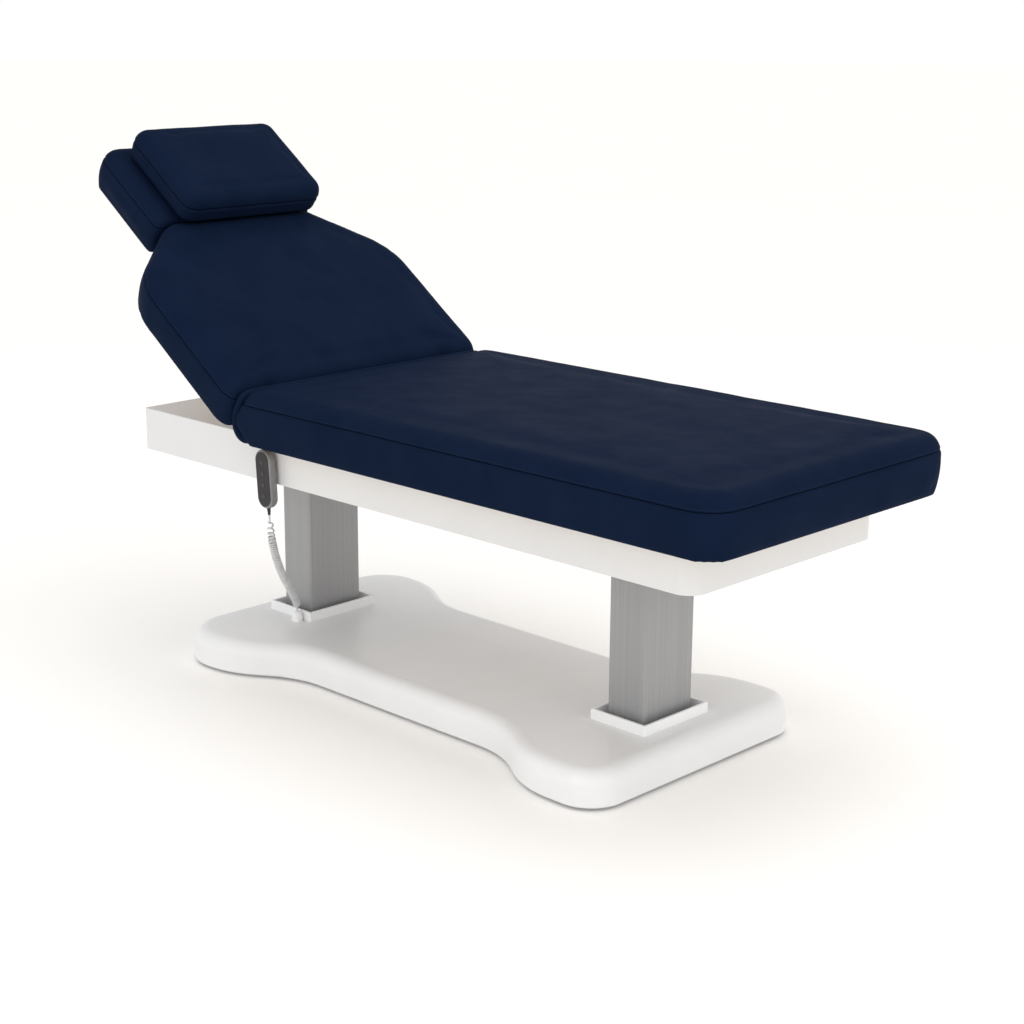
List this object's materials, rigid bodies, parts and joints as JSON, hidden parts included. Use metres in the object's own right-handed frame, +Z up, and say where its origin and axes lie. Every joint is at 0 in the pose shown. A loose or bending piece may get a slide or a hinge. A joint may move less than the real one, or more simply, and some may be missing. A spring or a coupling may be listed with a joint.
{
  "type": "treatment table",
  "caption": "Electric treatment table on two lifting columns and an hourglass base, with a raising backrest, tilting headrest, loose pillow and wired handset.",
  "frame": {"origin": "on the floor, under the centre of the table's overall length and width in the stored pose", "axes": "+X along the table to the foot end, +Z up, and the handset is on the -Y side"},
  "size_m": [2.0632, 0.76, 1.2325],
  "materials": {
    "base_shell": "satin",
    "skirt_paint": "satin",
    "column_satin": "satin",
    "collar_plastic": "satin",
    "frame_steel": "satin",
    "upholstery": "matte",
    "plywood": "matte",
    "motor_casing": "matte",
    "bright_steel": "satin",
    "nut_bronze": "satin",
    "glide_plastic": "matte",
    "hinge_steel": "satin",
    "handset_shell": "satin",
    "handset_front": "satin",
    "button_rubber": "matte",
    "cord_jacket": "satin",
    "foot_rubber": "matte"
  },
  "bodies": {
    "base": {"base_cover": "base_shell", "base_rail_near": "frame_steel", "base_rail_far": "frame_steel", "base_crossbar_head": "frame_steel", "base_crossbar_foot": "frame_steel", "levelling_feet": "foot_rubber", "outer_tube_head": "column_satin", "outer_tube_foot": "column_satin", "collar_head": "collar_plastic", "collar_foot": "collar_plastic", "column_bolts": "bright_steel", "lift_motor_head": "motor_casing", "lift_motor_foot": "motor_casing", "control_box": "motor_casing", "mains_inlet": "motor_casing", "cord_gland": "collar_plastic", "outer_glides": "glide_plastic"},
    "spindle_head": {"spindle_head": "bright_steel"},
    "spindle_foot": {"spindle_foot": "bright_steel"},
    "middle_head": {"middle_tube_head": "column_satin"},
    "middle_foot": {"middle_tube_foot": "column_satin"},
    "table": {"inner_tube_head": "column_satin", "inner_tube_foot": "column_satin", "spindle_nuts": "nut_bronze", "inner_glides": "glide_plastic", "frame_rail_near": "frame_steel", "frame_rail_far": "frame_steel", "frame_crossbar_head": "frame_steel", "frame_crossbar_centre": "frame_steel", "frame_crossbar_foot": "frame_steel", "fascia_near": "skirt_paint", "fascia_far": "skirt_paint", "fascia_head": "skirt_paint", "fascia_foot": "skirt_paint", "head_tray": "skirt_paint", "seat_board": "plywood", "seat_pad": "upholstery", "hinge_arms": "frame_steel", "actuator_housing": "motor_casing", "actuator_bracket": "frame_steel", "handset_body": "handset_shell", "handset_face": "handset_front", "handset_hook": "handset_shell", "handset_strain_relief": "cord_jacket", "curly_cord": "cord_jacket"},
    "key_height_up": {"button_height_up": "button_rubber"},
    "key_height_down": {"button_height_down": "button_rubber"},
    "key_back_up": {"button_back_up": "button_rubber"},
    "key_back_down": {"button_back_down": "button_rubber"},
    "rod": {"actuator_rod": "bright_steel"},
    "backrest": {"backrest_board": "plywood", "backrest_pad": "upholstery", "backrest_piping": "upholstery", "hinge_plates": "frame_steel", "backrest_fork": "frame_steel", "headrest_hinges": "hinge_steel"},
    "headrest": {"headrest_board": "plywood", "headrest_pad": "upholstery", "headrest_hinge_pins": "hinge_steel"},
    "pillow": {"pillow": "upholstery"}
  },
  "joints": [
    {"name": "height", "type": "slide", "parent": "base", "child": "table", "axis": [0, 0, 1], "range_m": [0, 0.3]},
    {"name": "backrest_tilt", "type": "hinge", "parent": "table", "child": "backrest", "pos_m": [-0.30542, 0, 0.686], "axis": [0, 1, 0], "range_deg": [-35.4, 29.6]},
    {"name": "actuator_stroke", "type": "slide", "parent": "table", "child": "rod", "axis": [-0.8788, 0, 0.4772], "range_m": [-0.0739, 0.06187]},
    {"name": "headrest_tilt", "type": "hinge", "parent": "backrest", "child": "headrest", "pos_m": [-0.81566, 0, 0.9382], "axis": [0, 1, 0], "range_deg": [-35, 0]},
    {"name": "pillow_lift_off", "type": "slide", "parent": "headrest", "child": "pillow", "axis": [0.5793, 0, 0.8151], "range_m": [0, 0.15]},
    {"name": "middle_stage_head", "type": "slide", "parent": "base", "child": "middle_head", "axis": [0, 0, 1], "range_m": [0, 0.15]},
    {"name": "spindle_head_turn", "type": "hinge", "parent": "base", "child": "spindle_head", "pos_m": [-0.46442, 0, 0.063], "axis": [0, 0, 1], "range_deg": [-1, 9001]},
    {"name": "middle_stage_foot", "type": "slide", "parent": "base", "child": "middle_foot", "axis": [0, 0, 1], "range_m": [0, 0.15]},
    {"name": "spindle_foot_turn", "type": "hinge", "parent": "base", "child": "spindle_foot", "pos_m": [0.59558, 0, 0.063], "axis": [0, 0, 1], "range_deg": [-1, 9001]},
    {"name": "press_height_up", "type": "slide", "parent": "table", "child": "key_height_up", "axis": [0, 1, 0], "range_m": [0, 0.0008], "stiffness_N_per_m": 1200},
    {"name": "press_height_down", "type": "slide", "parent": "table", "child": "key_height_down", "axis": [0, 1, 0], "range_m": [0, 0.0008], "stiffness_N_per_m": 1200},
    {"name": "press_back_up", "type": "slide", "parent": "table", "child": "key_back_up", "axis": [0, 1, 0], "range_m": [0, 0.0008], "stiffness_N_per_m": 1200},
    {"name": "press_back_down", "type": "slide", "parent": "table", "child": "key_back_down", "axis": [0, 1, 0], "range_m": [0, 0.0008], "stiffness_N_per_m": 1200}
  ],
  "couplings": [
    {"joint": "actuator_stroke", "follows": "backrest_tilt", "m_per_rad": 0.1188},
    {"joint": "middle_stage_head", "follows": "height", "ratio": 0.5},
    {"joint": "spindle_head_turn", "follows": "height", "rad_per_m": 523.6},
    {"joint": "middle_stage_foot", "follows": "height", "ratio": 0.5},
    {"joint": "spindle_foot_turn", "follows": "height", "rad_per_m": 523.6}
  ]
}
